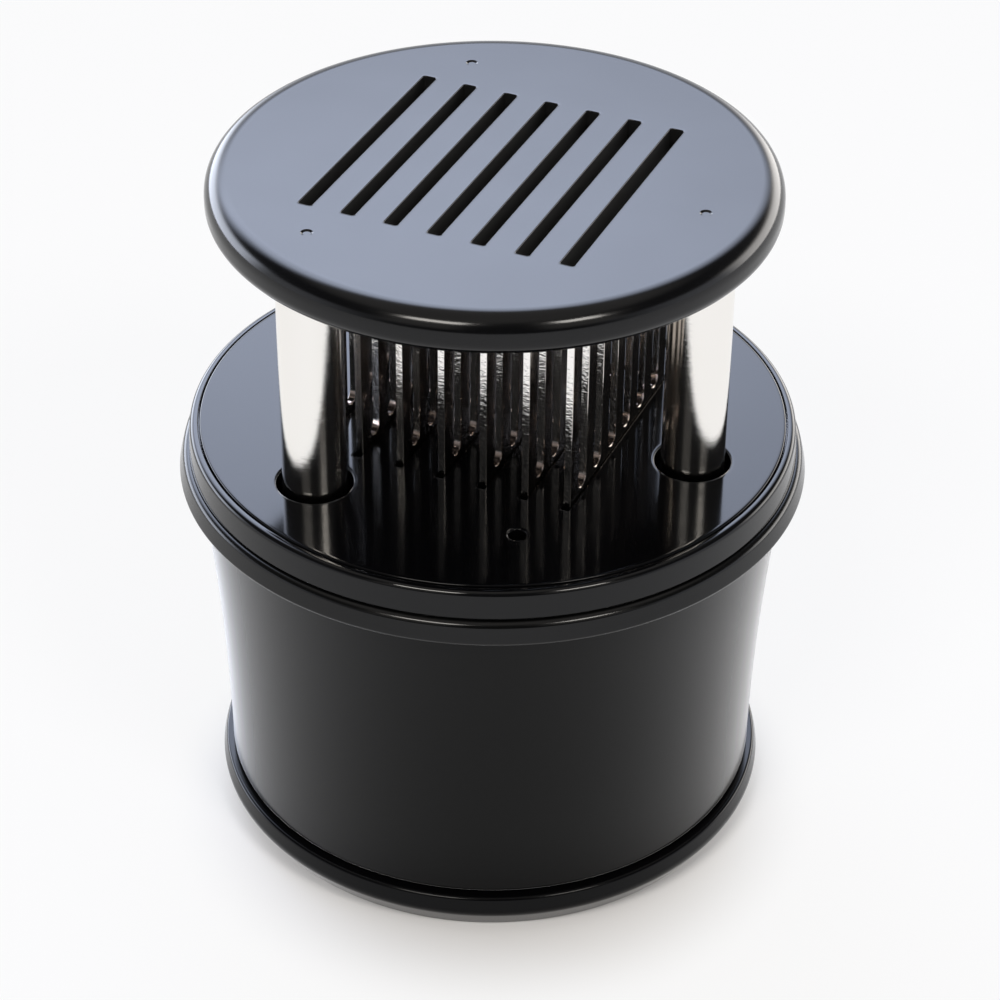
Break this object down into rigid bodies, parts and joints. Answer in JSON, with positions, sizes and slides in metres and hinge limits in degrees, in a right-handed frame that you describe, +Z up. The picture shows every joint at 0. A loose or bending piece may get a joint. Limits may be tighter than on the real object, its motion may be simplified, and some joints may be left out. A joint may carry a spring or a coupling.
{
  "type": "blade meat tenderizer",
  "caption": "Round hand-held blade meat tenderizer: rows of stamped steel blades on a drum handle, under a spring-loaded slotted guard on steel columns.",
  "frame": {"origin": "centre of the flat face of the palm cap, which the tool stands on with its blades up", "axes": "+Z up from the palm cap to the guard, +Y along the blade rows, +X across them"},
  "size_m": [0.1004, 0.1004, 0.1152],
  "materials": {
    "guard_plastic": "satin black moulded ABS, fine bluish sheen",
    "deck_plastic": "polished black moulded ABS, nearly a mirror",
    "collar_plastic": "semi-gloss black moulded ABS",
    "shell_plastic": "satin black moulded ABS",
    "cap_plastic": "satin black moulded ABS",
    "inner_plastic": "as-moulded black ABS",
    "bush_acetal": "natural white acetal, turned",
    "blade_steel": "stamped stainless steel, bright sheared edges",
    "column_steel": "polished stainless steel tube",
    "spring_steel": "drawn stainless spring wire",
    "fastener_steel": "plain stainless steel"
  },
  "bodies": {
    "handle": {"palm_cap": "cap_plastic", "handle_shell": "shell_plastic", "guide_frame": "inner_plastic", "blade_holder": "inner_plastic", "comb_pins": "fastener_steel", "deck_plate": "deck_plastic", "collar_ring": "collar_plastic", "deck_screws": "fastener_steel", "blade_comb_1": "blade_steel", "blade_comb_2": "blade_steel", "blade_comb_3": "blade_steel", "blade_comb_4": "blade_steel", "blade_comb_5": "blade_steel", "blade_comb_6": "blade_steel", "blade_comb_7": "blade_steel", "guide_bush_1": "bush_acetal", "guide_bush_2": "bush_acetal", "guide_bush_3": "bush_acetal", "return_spring_1": "spring_steel", "return_spring_2": "spring_steel", "return_spring_3": "spring_steel"},
    "guard": {"guard_plate": "guard_plastic", "guide_column_1": "column_steel", "guide_column_2": "column_steel", "guide_column_3": "column_steel", "column_insert_1": "fastener_steel", "column_insert_2": "fastener_steel", "column_insert_3": "fastener_steel", "stop_washer_1": "bush_acetal", "stop_washer_2": "bush_acetal", "stop_washer_3": "bush_acetal", "column_screws": "fastener_steel"}
  },
  "joints": [
    {"name": "guard_slide", "type": "slide", "parent": "handle", "child": "guard", "axis": [0, 0, -1], "range_m": [0, 0.032], "stiffness_N_per_m": 1200, "springref_m": -0.006, "deforming": ["return_spring_1", "return_spring_2", "return_spring_3"]}
  ]
}
